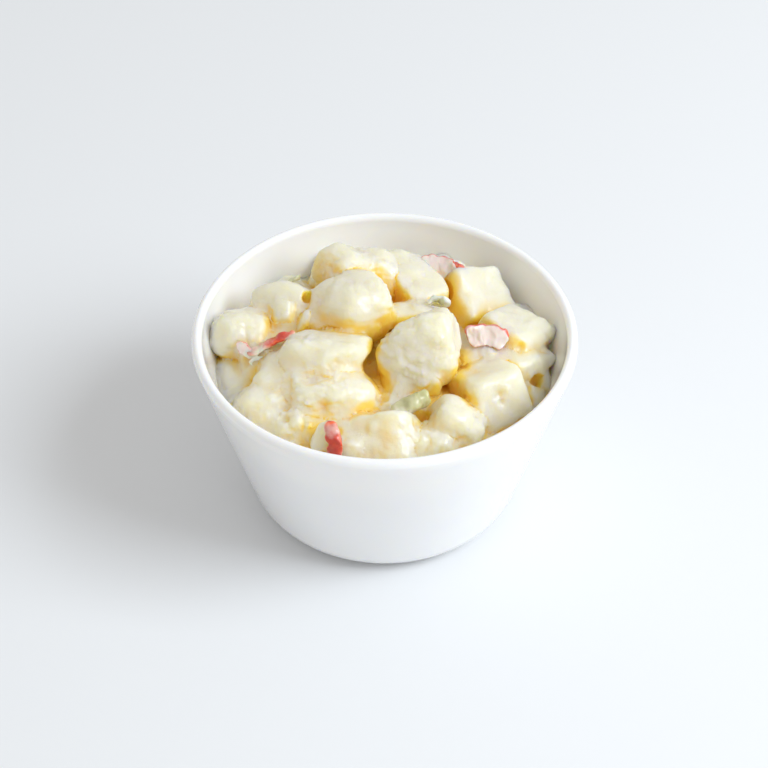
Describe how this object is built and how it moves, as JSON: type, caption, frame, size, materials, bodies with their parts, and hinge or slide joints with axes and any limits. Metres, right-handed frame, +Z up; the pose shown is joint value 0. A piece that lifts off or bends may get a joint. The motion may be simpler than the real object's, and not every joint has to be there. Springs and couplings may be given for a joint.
{
  "type": "cup of potato salad",
  "caption": "Round white tapered cup with a flat base, filled above its rim with a heap of dressed potato pieces, red pepper strips and celery.",
  "frame": {"origin": "middle of the cup's flat base, on the surface it stands on", "axes": "+Z up through the cup's mouth, -Y towards the side that the picture shows, +X to the picture's right"},
  "size_m": [0.108, 0.108, 0.0687],
  "materials": {
    "cup": "gloss",
    "potato_salad": "satin"
  },
  "bodies": {
    "root": {"cup": "cup", "potato_salad": "potato_salad"}
  },
  "joints": []
}
